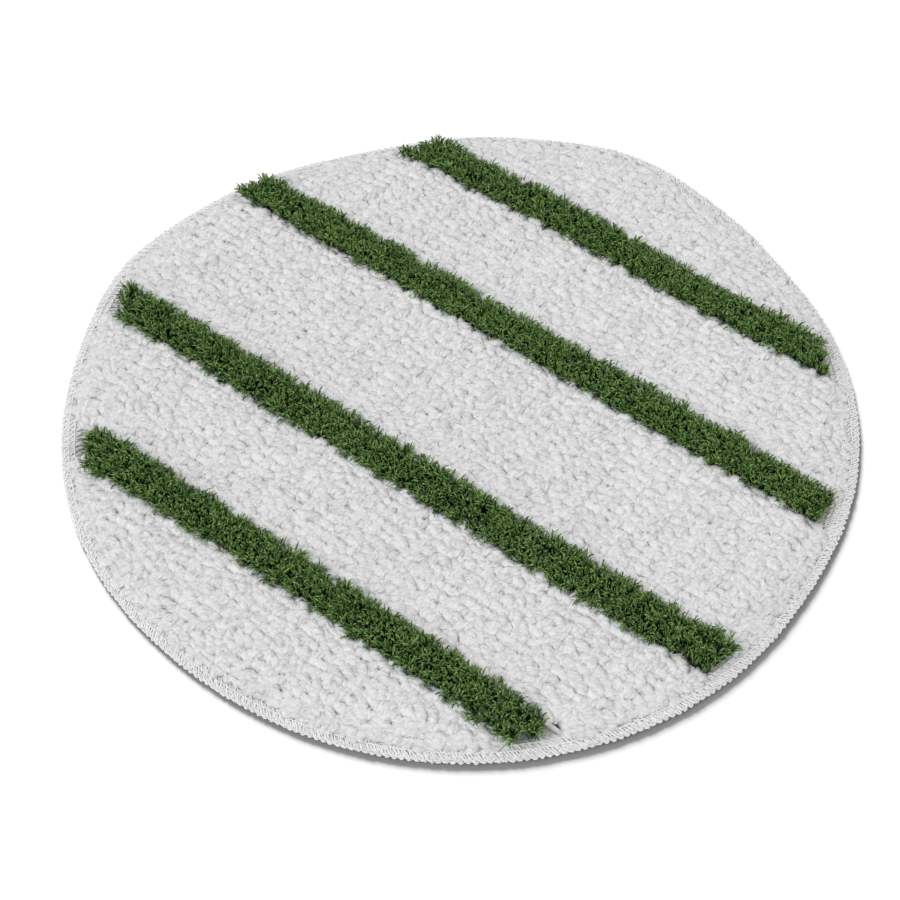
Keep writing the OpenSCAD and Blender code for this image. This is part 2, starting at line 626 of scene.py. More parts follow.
@dataclass(frozen=True)
class ClothFinish:
    """Finish of the woven backing cloth."""

    name: str = "woven backing"
    light: tuple[float, float, float] = (0.86, 0.86, 0.84)
    shade: tuple[float, float, float] = (0.66, 0.65, 0.62)
    threads: float = 720.0  # a metre
    patches: float = 60.0  # scale of the patches in which the painted shade between the threads varies, a metre
    bump: float = 0.3 * MM
    roughness: float = 0.95
    specular: float = 0.2

    def material(self) -> bpy.types.Material:
        """Build the material from the finish's own values.

        Returns:
            The material.
        """
        material, shader, place = new_material(self.name)
        tree = material.node_tree
        height = add_group(
            tree, "plain weave", fill_weave, "Height", Place=place, Threads=self.threads
        )
        patches = add_node(tree, "TexNoise", Vector=place, Scale=self.patches, Detail=3.0)
        # Painted shade between the threads and lighter crowns, following the weave's height, varied
        # in random patches
        patchy_weave_shade = calculate(tree, "MULTIPLY", height, patches.outputs["Fac"])
        level = add_node(tree, "MapRange", Value=patchy_weave_shade, From_Min=0.05, From_Max=0.55)
        bump = add_node(tree, "Bump", Strength=1.0, Distance=self.bump, Height=height)
        surface = {
            "Base_Color": blend(tree, level.outputs[0], (*self.shade, 1.0), (*self.light, 1.0)),
            "Normal": bump.outputs[0],
            "Roughness": self.roughness,
            "Specular_IOR_Level": self.specular,
        }
        fill_inputs(tree, shader, surface)
        return material


LOOP_YARN = StrandFinish(
    name="looped yarn",
    light=(0.91, 0.91, 0.91),
    shade=(0.69, 0.69, 0.69),
    # Root: painted light on the loops' low parts, against the shade between them
    root=(0.98, 0.98, 0.98),
    tone_share=0.35,
    drift=0.35,
    streaks=0.6,
    around=11.0,
    along=7.0,
    bump=0.9 * MM,
    roughness=0.33,
    sheen=0.25,
    specular=0.5,
)
SCRUB_YARN = StrandFinish(
    name="scrub fibre",
    light=(0.28, 0.46, 0.115),
    shade=(0.012, 0.062, 0.008),
    # Root: painted shade at the fibres' feet
    root=(0.005, 0.020, 0.003),
    tone_share=1.0,
    drift=0.15,
    streaks=0.5,
    around=2.0,
    along=8.0,
    bump=0.1 * MM,
    roughness=0.32,
    sheen=0.0,
    specular=0.35,
)
EDGE_THREAD = StrandFinish(
    name="overlock thread",
    light=(0.98, 0.98, 0.98),
    shade=(0.91, 0.91, 0.91),
    # Root: painted shade for low parts, which never shows, as every thread has full rise
    root=(0.88, 0.88, 0.88),
    tone_share=0.4,
    drift=0.3,
    streaks=0.3,
    around=6.0,
    along=8.0,
    bump=0.0003,
    roughness=0.55,
    sheen=0.2,
    specular=0.45,
)


# ---------------------------------------------------------------- the pad's pieces


Vary = Callable[[float], np.ndarray]  # returns one small difference for each loop

# Turns round the yarn, and waves along it, of each swell that makes it uneven
SWELLS = ((2, 2.3), (1, -3.7))


@dataclass
class PileBand:
    """A band of looped yarn rows: fat, soft arches of plied yarn, packed close.

    Low loops stand in the valleys between the rows and round the rim, and slack
    yarn lies under them all, so that no cloth shows between them.
    """

    rows: Rows
    seed: int
    most_loops: int = 180  # stitches in one piece

    # The stitches
    stitch: float = 13.6 * MM
    shift: float = 2.3 * MM
    least_stitch: float = 4.5 * MM

    # The arch that a loop bends in
    thick: float = 3.0 * MM  # half the yarn's thickness
    wide: float = 3.9 * MM  # half the width that it is squeezed to across the row
    leg_spread: float = 3.7 * MM  # half the distance between a loop's legs, at the top
    leg_foot: float = 0.9  # share of the spread at the cloth
    leg_bulk: float = 0.35  # how much thicker the yarn is in the legs than at the top
    leg_rise: float = 0.45  # share of a loop's rise that its legs take
    arc_rise: float = 1.05  # height of the arc as a share of the legs' spread
    arc_spread: float = 0.15  # by which this differs
    most_arc: float = 0.75  # of the loop's height
    saddle: float = 1.3 * MM  # that the arch's middle sinks between its shoulders
    saddle_spread: float = 0.8  # share by which this differs
    size_spread: float = 0.08  # share by which the loops' sizes differ
    wobble: float = 0.5 * MM  # of the arch out of its plane
    leg_rings: int = 1
    arch_rings: int = 15

    # The plies
    plies: int = 5
    samples: int = 3  # points across each ply
    ply_ridge: float = 0.28  # height of the plies' ridges as a share of the thickness
    ridge_spread: float = 0.3  # share by which this differs
    nubs: float = 5.0  # soft lumps along each ply over the arch
    nub_depth: float = 0.55  # share of the ridge that is lost between two lumps
    turns: float = 0.9  # that the plies make over the arch
    leg_turns: float = 0.25
    swell: float = 0.14  # of the yarn's uneven parts
    swell_phase: float = 3.1  # radians by which these are moved along, at most

    # How a loop stands
    lean: float = 0.24  # slope to each side of its row
    row_lean: float = 0.7  # share of this along the row
    yaw: float = 60.0  # degrees
    stray: float = 0.9 * MM  # of a loop's place
    overhang: float = 0.5 * MM  # how far the loops at the rim lean out over the edge
    overhang_from: float = 0.8  # share of the pile's radius

    # The low loops
    low_height: float = 0.98  # share of the whole height
    low_rings: int = 10  # over a low loop's arch
    rim_drop: float = 0.56  # of the height, where the pile ends at the rim
    rim_from: float = 0.91  # share of the pile's radius
    rim_curve: float = 1.5  # how late the drop comes
    rim_stitch: float = 9.0 * MM  # from one loop to the next round the rim
    rim_start: int = 3  # slack steps from the end of the rim's part to its first loop
    rim_size: float = 0.75  # length of a loop there as a share of a whole stitch

    # The slack yarn
    slack_radius: float = 4.1 * MM
    side_radius: float = 2.5 * MM  # beside a strip
    rim_radius: float = 2.1 * MM  # under the pile's rim
    rim_inset: float = 1.25  # of this yarn's middle, as a share of its radius
    rim_fill: float = 3.6 * MM  # from it in to the next slack yarn
    slack_nub: float = 4.8 * MM  # length of one lump
    slack_lumps: float = 0.24  # height of the lumps as a share of the radius
    rim_lumps: float = 0.34  # the same at the rim
    slack_wander: float = 0.7  # radians by which the lumps stray from step to step
    slack_rise: float = 0.6  # share of the height whose colour it takes, which gives it part of the root's painted light
    slack_step: float = 2.0 * MM
    slack_run: int = 6  # steps in one short length of it
    slack_sides: int = 9

    def build(self, name: str, lie: Lie, places: np.ndarray, part: int) -> bpy.types.Object:
        """Make the loops of some of the band's rows.

        Args:
            name: Name of the piece.
            lie: How the pad lies.
            places: The rows that this piece takes.
            part: The piece's number in the band.

        Returns:
            The piece.
        """
        low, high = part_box(self.rows.node)
        rng = np.random.default_rng([self.seed, part])
        height, level = high[2] - low[2], low[2]
        draft = Draft()
        cells = self.rows.cells(self.stitch, self.shift, self.least_stitch, places)
        self.add_loops(draft, cells, height, level, rng)
        valleys = places + self.rows.pitch / 2
        valleys = valleys[valleys < self.rows.places()[-1]]
        half_on = self.shift + self.stitch / 2
        cells = self.rows.cells(self.stitch, half_on, self.least_stitch, valleys)
        small = replace(self, arch_rings=self.low_rings)
        small.add_loops(draft, cells, height * self.low_height, level, rng)
        self.fill_valleys(draft, valleys, places, level, rng)
        for path in self.rim_paths(places):
            small.add_loops(draft, self.rim_cells(path), height * self.low_height, level, rng)
            self.fill_rim(draft, path, level, rng)
        return draft.piece(name, lie)

    def fill_valleys(
        self,
        draft: Draft,
        valleys: np.ndarray,
        places: np.ndarray,
        level: float,
        rng: np.random.Generator,
    ) -> None:
        """Lay slack yarn in the valleys and beside the strips.

        Args:
            draft: The piece that it goes into.
            valleys: The valleys' places across the strips.
            places: The rows' places across the strips.
            level: Height of the cloth's top.
            rng: Source of the yarn's lumps.
        """
        for y, thick in [(y, self.slack_radius) for y in valleys] + self.strip_sides(places):
            half = self.rows.reach(abs(y) + MM) - MM
            along = np.linspace(-half, half, self.slack_points(2 * half))
            path = np.stack([along, np.full(len(along), y), np.full(len(along), level)], 1)
            radius = thick * self.rim_heights(np.hypot(along, y) / self.rows.pile_radius)
            self.add_slack(draft, path + UP * radius[:, None], radius, rng)

    def fill_rim(
        self, draft: Draft, path: np.ndarray, level: float, rng: np.random.Generator
    ) -> None:
        """Lay two lengths of rough slack yarn beside each other under the pile's rim.

        Args:
            draft: The piece that they go into.
            path: The rim's points.
            level: Height of the cloth's top.
            rng: Source of the yarn's lumps.
        """
        rough = replace(self, slack_lumps=self.rim_lumps)
        for inward, thick in ((0.0, self.rim_radius), (self.rim_fill, self.side_radius)):
            inside = path * (1 - inward / self.rows.pile_radius)
            radius = np.full(len(path), thick)
            rough.add_slack(draft, inside + UP * (level + thick), radius, rng)

    def strip_sides(self, places: np.ndarray) -> list[tuple[float, float]]:
        """Find where slack yarn lies beside a strip.

        Args:
            places: The rows' places across the strips.

        Returns:
            The place across the strips and the radius of each such yarn.
        """
        band = self.rows.places()
        off = self.rows.pitch / 2
        sides = [(band[0] - off, band[0] in places), (band[-1] + off, band[-1] in places)]
        inside = self.rows.pile_radius - self.rows.pitch * 2
        return [(y, self.side_radius) for y, here in sides if here and abs(y) < inside]

    def rim_paths(self, places: np.ndarray) -> list[np.ndarray]:
        """Return the pile's rim beside some rows, on its left and its right.

        Args:
            places: The rows' places across the strips.

        Returns:
            Two paths on the level of the floor.
        """
        ring = self.rows.pile_radius + self.rows.overlap - self.rim_radius * self.rim_inset
        low, high = places[0] - self.rows.pitch / 2, places[-1] + self.rows.pitch / 2
        low = -ring if low - self.rows.pitch / 2 < -ring else low
        high = ring if high + self.rows.pitch / 2 > ring else high
        start, end = math.asin(max(low / ring, -1)), math.asin(min(high / ring, 1))
        turn = np.linspace(start, end, self.slack_points((end - start) * ring))
        right = np.stack([np.cos(turn) * ring, np.sin(turn) * ring, 0 * turn], 1)
        return [right * np.array([-1.0, 1.0, 1.0]), right]

    def slack_points(self, length: float) -> int:
        """Return how many points slack yarn of a length has, in whole short lengths."""
        return self.slack_run * max(1, round(length / self.slack_step / self.slack_run)) + 1

    def rim_cells(self, path: np.ndarray) -> np.ndarray:
        """Divide a part of the pile's rim into short stitches.

        Args:
            path: The rim's points, one slack step apart.

        Returns:
            Middle, place across and length of each stitch, n by 3.
        """
        middles = path[self.rim_start :: round(self.rim_stitch / self.slack_step)]
        lengths = np.full(len(middles), self.stitch * self.rim_size)
        return np.column_stack([middles[:, :2], lengths])

    def add_slack(
        self, draft: Draft, path: np.ndarray, radius: np.ndarray, rng: np.random.Generator
    ) -> None:
        """Add slack, lumpy yarn that fills a place under the loops.

        Args:
            draft: The piece that it goes into.
            path: The middle of the yarn.
            radius: The yarn's radius at each point.
            rng: Source of the yarn's lumps.
        """
        phase = np.arange(self.slack_sides) / self.slack_sides * 2 * math.pi
        steps = np.arange(len(path))[:, None] * self.slack_step / self.slack_nub * 2 * math.pi
        wander = self.slack_wander * np.cumsum(rng.uniform(-1, 1, (len(path), 1)), 0)
        lumps = 1 + self.slack_lumps * np.sin(phase * 3 + wander) * np.sin(steps + wander)
        up = np.broadcast_to(UP, path.shape)
        rings = sweep(path[None], up[None], radius[None], self.slack_sides)
        rings = path[:, None] + (rings[0] - path[:, None]) * lumps[..., None]
        runs = np.arange(0, len(path) - 1, self.slack_run)[:, None] + np.arange(self.slack_run + 1)
        rise = np.full(self.slack_run + 1, self.slack_rise)
        add_tubes(draft, rings[runs], rng.random(len(runs)), rise)

    def parts(self) -> list[np.ndarray]:
        """Return the rows of each piece, where the band's yarn fills more than one."""
        places = self.rows.places()
        loops = sum(2 * self.rows.reach(y) for y in places) / self.stitch
        return np.array_split(places, math.ceil(loops / self.most_loops))

    def add_loops(
        self,
        draft: Draft,
        cells: np.ndarray,
        height: float,
        level: float,
        rng: np.random.Generator,
    ) -> None:
        """Add one loop for each stitch.

        Args:
            draft: The piece that they go into.
            cells: Middle, place across and length of each stitch.
            height: Height of the loops over the cloth.
            level: Height of the cloth's top.
            rng: Source of the loops' small differences.
        """
        loops = self.loops(cells, height, rng)
        loops[..., 2] += level
        # The rise sets where the root's painted light lies on each loop
        add_tubes(draft, loops, rng.random(len(cells)), self.rise())

    def angles(self) -> np.ndarray:
        """Return the arch's angle at each ring, which goes on past it down the legs."""
        legs = np.arange(self.leg_rings) - self.leg_rings
        arch = np.linspace(0, math.pi, self.arch_rings)
        return np.concatenate([legs, arch, math.pi - legs[::-1]])

    def depths(self) -> np.ndarray:
        """Return how far down its leg each ring is, from 0 over the arch to -1."""
        angle = self.angles()
        return np.minimum(np.minimum(angle, math.pi - angle), 0) / self.leg_rings

    def rise(self) -> np.ndarray:
        """Return each ring's height share."""
        arch = np.sin(np.clip(self.angles(), 0, math.pi))
        return self.leg_rise * (1 + self.depths()) + (1 - self.leg_rise) * arch

    def loops(self, cells: np.ndarray, height: float, rng: np.random.Generator) -> np.ndarray:
        """Bend the yarn into its loops and set them in their places.

        Args:
            cells: Middle, place across and length of each stitch.
            height: Height of the loops over the cloth.
            rng: Source of the loops' small differences.

        Returns:
            The loops' points as loop, ring, side, 3.
        """

        def vary(spread: float) -> np.ndarray:
            """Return one small difference for each loop."""
            return rng.uniform(-spread, spread, (len(cells), 1))

        middle = self.arches(cells, height, vary)
        points = middle[:, :, None] + self.plied_sections(len(cells), rng, vary)
        return self.settle_loops(points, cells, height, vary)

    def arches(self, cells: np.ndarray, height: float, vary: Vary) -> np.ndarray:
        """Bend the middle of each loop's yarn.

        Args:
            cells: Middle, place across and length of each stitch.
            height: Height of the loops over the cloth.
            vary: Source of one small difference for each loop.

        Returns:
            The middles' points as loop, ring, 3.
        """
        bent = np.clip(self.angles()[None], 0, math.pi)
        down = self.depths()[None]
        top = height * (1 + vary(self.size_spread)) - self.thick
        spread = self.leg_spread * cells[:, 2:] / self.stitch * (1 + vary(self.size_spread))
        arc = np.minimum(spread * (self.arc_rise + vary(self.arc_spread)), top * self.most_arc)
        x = -np.cos(bent) * spread * (1 + down * (1 - self.leg_foot))
        z = (top - arc) * (1 + down) + np.sin(bent) * arc
        z = z - self.saddle * (1 + vary(self.saddle_spread)) * np.sin(bent) ** 6
        y = vary(self.wobble) * np.sin(bent * 2) + vary(self.wobble) * np.sin(bent)
        return np.stack([x, y, z], -1)

    def plied_sections(self, count: int, rng: np.random.Generator, vary: Vary) -> np.ndarray:
        """Wrap the plies, with their soft lumps, round each loop's middle.

        Args:
            count: Number of loops.
            rng: Source of the plies' places.
            vary: Source of one small difference for each loop.

        Returns:
            Each point's place off its loop's middle, as loop, ring, side, 3.
        """
        angle = self.angles()[None]
        bent, down = np.clip(angle, 0, math.pi), self.depths()[None]
        turned = self.turns * bent / math.pi
        turned = turned + self.leg_turns * np.where(angle > math.pi / 2, -down, down)
        turned = (turned + rng.random((count, 1))) * 2 * math.pi
        sides = self.plies * self.samples
        phase = turned[..., None] + np.arange(sides) / sides * 2 * math.pi
        lobes = 0.5 + 0.5 * np.cos(np.arange(sides) / self.samples * 2 * math.pi)
        apart = rng.random((count, 1, self.plies)).repeat(self.samples, 2)
        apart = np.roll(apart, -(self.samples // 2), 2)
        lumps = (angle[..., None] / math.pi * self.nubs + apart) * 2 * math.pi
        lobes = lobes * (1 - self.nub_depth * (0.5 - 0.5 * np.cos(lumps)))
        ridge = 1 + self.ply_ridge * (1 + vary(self.ridge_spread)[..., None]) * (lobes - 1)
        uneven = sum(
            np.sin(phase * around + angle[..., None] * along + vary(self.swell_phase)[..., None])
            for around, along in SWELLS
        )
        bulk = 1 + self.leg_bulk * (1 - np.sin(bent)) ** 1.5
        size = ridge * (1 + self.swell / 2 * uneven) * bulk[..., None]
        out = np.stack([-np.cos(bent), np.zeros_like(bent), np.sin(bent)], -1)[:, :, None]
        section = np.cos(phase)[..., None] * out * self.thick
        section = section + np.sin(phase)[..., None] * ACROSS * self.wide
        return section * size[..., None]

    def rim_heights(self, share: np.ndarray) -> np.ndarray:
        """Return the pile's height, as a share of the whole, at shares of its radius."""
        ramp = np.clip((share - self.rim_from) / (1 - self.rim_from), 0, 1)
        return 1 - self.rim_drop * ramp**self.rim_curve

    def settle_loops(
        self,
        points: np.ndarray,
        cells: np.ndarray,
        height: float,
        vary: Vary,
    ) -> np.ndarray:
        """Turn and lean each loop and set it in its place.

        Args:
            points: The points round each loop's own middle.
            cells: Middle, place across and length of each stitch.
            height: Height of the loops over the cloth.
            vary: Source of one small difference for each loop.

        Returns:
            The points in their places.
        """
        x, y, z = points[..., 0], points[..., 1], np.maximum(points[..., 2], 0.05 * MM)
        turn = np.radians(vary(self.yaw))[..., None]
        share = np.hypot(cells[:, 0], cells[:, 1]) / self.rows.pile_radius
        z = z * self.rim_heights(share)[:, None, None]
        ramp = np.clip((share - self.overhang_from) / (1 - self.overhang_from), 0, 1)
        push = self.overhang * ramp**2 / height / np.maximum(share, 0.1) / self.rows.pile_radius
        lean_x = vary(self.lean * self.row_lean)[..., None] + (push * cells[:, 0])[:, None, None]
        lean_y = vary(self.lean)[..., None] + (push * cells[:, 1])[:, None, None]
        home_x = (cells[:, :1] + vary(self.stray))[..., None]
        home_y = (cells[:, 1:2] + vary(self.stray))[..., None]
        moved_x = x * np.cos(turn) - y * np.sin(turn) + lean_x * z + home_x
        moved_y = x * np.sin(turn) + y * np.cos(turn) + lean_y * z + home_y
        return np.stack([moved_x, moved_y, z], -1)


def root_to_tip(
    lean: np.ndarray, bend: np.ndarray, share: np.ndarray, bend_from: float
) -> np.ndarray:
    """Lean fibres out of their roots and bend their tips over.

    Args:
        lean: Degrees that each fibre leans along X and Y.
        bend: Degrees that its tip bends along X and Y, past its lean.
        share: Share of a fibre's length at each of its rings.
        bend_from: Share where it begins to bend.

    Returns:
        The fibres' middles from their roots, one unit long, as fibre, ring, 3.
    """
    bent = np.clip((share - bend_from) / (1 - bend_from), 0, 1)
    tilt = np.radians(lean[:, None] + bend[:, None] * bent[None, :, None])
    angle = np.linalg.norm(tilt, axis=2, keepdims=True)
    flat = tilt / np.maximum(angle, 1e-6) * np.sin(angle)
    way = np.concatenate([flat, np.cos(angle)], 2)
    steps = (way[:, 1:] + way[:, :-1]) / 2 * np.diff(share)[None, :, None]
    return np.concatenate([np.zeros((len(lean), 1, 3)), np.cumsum(steps, 1)], 1)


@dataclass(frozen=True)
class StripShape:
    """How a strip's rows lean, and how far its ends are cut back and sag."""

    near: float  # degrees that the row on the -Y side leans out
    middle: float  # degrees that the middle row leans the same way
    far: float  # degrees that the row on the +Y side leans out
    left_trim: float  # cut off the -X end
    right_trim: float  # cut off the +X end
    left_sag: float  # degrees that the -X end leans to -Y
    right_sag: float  # degrees that the +X end leans to -Y


STRIP_SHAPES = (
    StripShape(15.0, 8.0, -3.0, 4.0 * MM, 5.0 * MM, 0.0, -11.0),
    StripShape(10.0, 4.0, 1.0, 1.0 * MM, 3.0 * MM, 0.0, 0.0),
    StripShape(17.0, 7.0, 3.0, 4.0 * MM, 0.0 * MM, 0.0, -15.0),
    StripShape(13.0, 5.0, -1.0, 8.0 * MM, 3.0 * MM, 30.0, 9.0),
)


@dataclass
class ScrubStrip:
    """A strip of cut pile: tufts of stiff, curling fibres, three rows to a strip."""

    rows: Rows
    seed: int
    shape: StripShape
    tuft_pitch: float = 6.8 * MM
    shift: float = 2.3 * MM
    least_tuft: float = 0.2  # shortest tuft at a row's end, as a share of the pitch
    fibres: int = 40  # in one tuft
    fibre_width: float = 1.2 * MM
    fibre_thick: float = 0.65 * MM
    tuft_foot: float = 2.3 * MM  # radius of a tuft at the cloth
    splay: float = 8.0  # degrees that a tuft's outer fibres lean
    curl: float = 125.0  # most degrees that a fibre bends over at its tip
    stray: float = 4.0  # degrees that a tuft, and a fibre in it, leans by chance
    bend_from: float = 0.7  # share of a fibre's length where it begins to bend over
    fan: float = 10.0  # degrees that the tufts at the strip's ends fan out
    fan_tufts: float = 2.0  # tufts at an end that fan out
    sag_length: float = 45.0 * MM
    combed: float = 12.0  # degrees of lean the other way that straighten the near row
    combed_share: float = 0.85  # of the near row's curl that this takes away
    tuft_stray: float = 0.7 * MM  # of the tufts' heights
    ragged: float = 1.4 * MM
    mean_drop: float = 1.0 * MM  # of the fibres' tips under the solid's top

    def build(self, name: str, lie: Lie) -> bpy.types.Object:
        """Make the strip's fibres.

        Args:
            name: Name of the piece.
            lie: How the pad lies.

        Returns:
            The piece.
        """
        low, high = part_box(self.rows.node)
        rng = np.random.default_rng(self.seed)
        shortest = self.tuft_pitch * self.least_tuft
        tufts = self.rows.cells(self.tuft_pitch, self.shift, shortest)
        ends = np.array([self.rows.reach(y) for y in tufts[:, 1]])
        kept = tufts[:, 0] > self.shape.left_trim - ends
        tufts = tufts[kept & (tufts[:, 0] < ends - self.shape.right_trim)]
        middle = self.rows.places().mean()
        rings, tone = self.fibre_rings(tufts, middle, high[2] - low[2], rng)
        rings[..., 2] += low[2]
        draft = Draft()
        add_tubes(draft, rings, tone, self.shares())
        return draft.piece(name, lie)

    def shares(self) -> np.ndarray:
        """Return each ring's share of a fibre's length."""
        return np.array([0.0, 0.72, 0.87, 1.0])

    def fibre_rings(
        self, tufts: np.ndarray, middle: float, height: float, rng: np.random.Generator
    ) -> tuple[np.ndarray, np.ndarray]:
        """Place and bend the fibres of every tuft.

        Args:
            tufts: Middle, place across and length of each tuft's stitch.
            middle: Place across of the strip's middle row.
            height: Height of the cut pile over the cloth.
            rng: Source of the fibres' differences.

        Returns:
            The fibres' points as fibre, ring, side, 3, and their tones.
        """
        count = len(tufts) * self.fibres
        home = np.repeat(tufts[:, :2], self.fibres, 0)
        turn = rng.uniform(0, 2 * math.pi, count)
        far = np.sqrt(rng.random(count))
        compass = np.stack([np.cos(turn), np.sin(turn)], 1)
        root = home + compass * (far * self.tuft_foot)[:, None]
        own_lean = np.repeat(rng.normal(0, self.stray, (len(tufts), 2)), self.fibres, 0)
        lean = compass * (far * self.splay)[:, None] + own_lean
        lean = lean + rng.normal(0, self.stray, (count, 2))
        off = np.round(home[:, 1] - middle, 4)
        inner = np.where(off < 0, -self.shape.near, -self.shape.middle)
        lean[:, 1] += np.where(off > 0, self.shape.far, inner)
        reach = np.array([self.rows.reach(y) for y in tufts[:, 1]]).repeat(self.fibres)
        from_end = reach - np.abs(home[:, 0])
        to_end = np.clip(1 - from_end / (self.tuft_pitch * self.fan_tufts), 0, 1)
        lean[:, 0] += np.sign(home[:, 0]) * to_end * self.fan
        to_end = np.clip(1 - from_end / self.sag_length, 0, 1)
        sag = to_end * np.where(home[:, 0] < 0, self.shape.left_sag, self.shape.right_sag)
        lean[:, 1] -= sag
        spin = turn + rng.normal(0, 1.2, count)
        curl = self.curl * rng.random(count) ** 0.8
        curl = curl * (1 - self.combed_share * np.clip(-sag / self.combed, 0, 1) * (off < 0))
        bend = np.stack([np.cos(spin), np.sin(spin)], 1) * curl[:, None]
        path = root_to_tip(lean, bend, self.shares(), self.bend_from)
        own = np.repeat(rng.normal(0, self.tuft_stray, len(tufts)), self.fibres)
        tall = height - self.mean_drop + own - self.ragged * rng.random(count) ** 1.5
        path *= (tall / np.maximum(path[..., 2].max(1), 0.8))[:, None, None]
        path[..., :2] += root[:, None]
        return self.flat_fibres(path, rng), rng.random(count)

    def flat_fibres(self, path: np.ndarray, rng: np.random.Generator) -> np.ndarray:
        """Give the fibres their flat section, each turned its own way.

        Args:
            path: The fibres' middles as fibre, ring, 3.
            rng: Source of their widths and turns.

        Returns:
            The fibres' points as fibre, ring, side, 3.
        """
        count = len(path)
        taper = np.array([0.7, 1.0, 1.0, 0.75])
        width = rng.uniform(0.8, 1.2, count)[:, None] * taper
        facing = rng.uniform(0, 2 * math.pi, count)
        out = np.stack([np.cos(facing), np.sin(facing), np.zeros(count)], 1)
        out = np.broadcast_to(out[:, None], path.shape)
        rings = sweep(path, out, width * self.fibre_width / 2, 3)
        centre = rings.mean(2, keepdims=True)
        thin = rings - centre
        lengthwise = out[:, :, None] * (thin * out[:, :, None]).sum(3, keepdims=True)
        return centre + lengthwise + (thin - lengthwise) * (self.fibre_thick / self.fibre_width)


@dataclass
class BackStitches:
    """The yarns' flat stitches on the back, between one loop and the next."""

    rows: Rows
    seed: int
    stitch: float = 13.6 * MM
    shift: float = 2.3 * MM
    least_stitch: float = 3.0 * MM
    length: float = 9.4 * MM
    bulge: float = 0.45  # power of the swell, which is blunter the smaller it is
    end: float = 0.04  # share of the swell's curve that is cut off at each end
    twist: float = 3.2  # radians that the plies turn over a stitch
    plies: int = 3
    ply_ridge: float = 0.1  # as a share of the thickness
    slant: float = 0.06  # slope to each side of the row
    rings: int = 9
    sides: int = 8

    def build(self, name: str, lie: Lie) -> bpy.types.Object:
        """Make the stitches.

        Args:
            name: Name of the piece.
            lie: How the pad lies.

        Returns:
            The piece.
        """
        low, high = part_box(self.rows.node)
        rng = np.random.default_rng(self.seed)
        cells = self.rows.cells(self.stitch, self.shift + self.stitch / 2, self.least_stitch)
        count = len(cells)
        share = np.linspace(0, 1, self.rings)
        around = np.arange(self.sides) / self.sides * 2 * math.pi
        long = np.minimum(self.length, cells[:, 2])[:, None, None]
        long = long * rng.uniform(0.93, 1.05, (count, 1, 1))
        swell = np.sin(np.clip(share, self.end, 1 - self.end) * math.pi) ** self.bulge
        turned = around[None, None, :] + share[None, :, None] * self.twist
        lobes = 1 + self.ply_ridge * np.cos(self.plies * around)[None, None, :]
        half_width = self.rows.width / 2 * rng.uniform(0.88, 1.0, (count, 1, 1))
        half_height = (high[2] - low[2]) / 2
        x = (share[None, :, None] - 0.5) * long + np.zeros((1, 1, self.sides))
        y = np.sin(turned) * lobes * half_width * swell[None, :, None]
        z = np.cos(turned) * lobes / (1 + self.ply_ridge) * half_height * swell[None, :, None]
        slant = rng.uniform(-self.slant, self.slant, (count, 1, 1))
        middle = cells[:, :2, None, None]
        level = np.broadcast_to(z + low[2] + half_height, x.shape)
        rings = np.stack([x + middle[:, 0], y + x * slant + middle[:, 1], level], -1)
        draft = Draft()
        add_tubes(draft, rings, rng.uniform(0.4, 0.6, count), np.full(self.rings, 1.0))
        return draft.piece(name, lie)


@dataclass
class Backing:
    """The woven cloth that every yarn is stitched through."""

    node: str = "backing_cloth"
    rings: int = 40
    sectors: int = 144

    def build(self, name: str, lie: Lie) -> bpy.types.Object:
        """Make the cloth as one closed, thin disc.

        Args:
            name: Name of the piece.
            lie: How the pad lies.

        Returns:
            The piece.
        """
        low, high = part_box(self.node)
        radius = (high[0] - low[0]) / 2
        angle = np.arange(self.sectors) / self.sectors * 2 * math.pi
        share = np.concatenate([np.linspace(0.01, 1, self.rings), np.linspace(1, 0.01, self.rings)])
        level = np.repeat([high[2], low[2]], self.rings)
        rings = np.stack(
            [
                radius * share[:, None] * np.cos(angle),
                radius * share[:, None] * np.sin(angle),
                level[:, None] + np.zeros(self.sectors),
            ],
            -1,
        )[None, :, ::-1]
        draft = Draft()
        add_tubes(draft, rings, np.array([0.5]), np.full(len(share), 1.0))
        for i, faces in enumerate(draft.faces):
            places = rings.reshape(-1, 3)[faces]
            over = places[..., 2].mean(1, keepdims=True) > (low[2] + high[2]) / 2
            u = np.where(over, 0.25, 0.75) + places[..., 0] / radius * 0.24
            v = 0.25 + places[..., 1] / radius * 0.24
            draft.bake_uv[i] = np.stack([u, v], -1).reshape(-1, 2)
        return draft.piece(name, lie)


# How far a looper thread's points stray: their share of a stitch, distance in and
# height in mm, and share of the thickness
STITCH_STRAY = np.array([0.02, 0.15, 0.06, 0.06])


class Face(Enum):
    """The face of the cloth that a looper thread covers."""

    TOP = "top"
    BACK = "back"


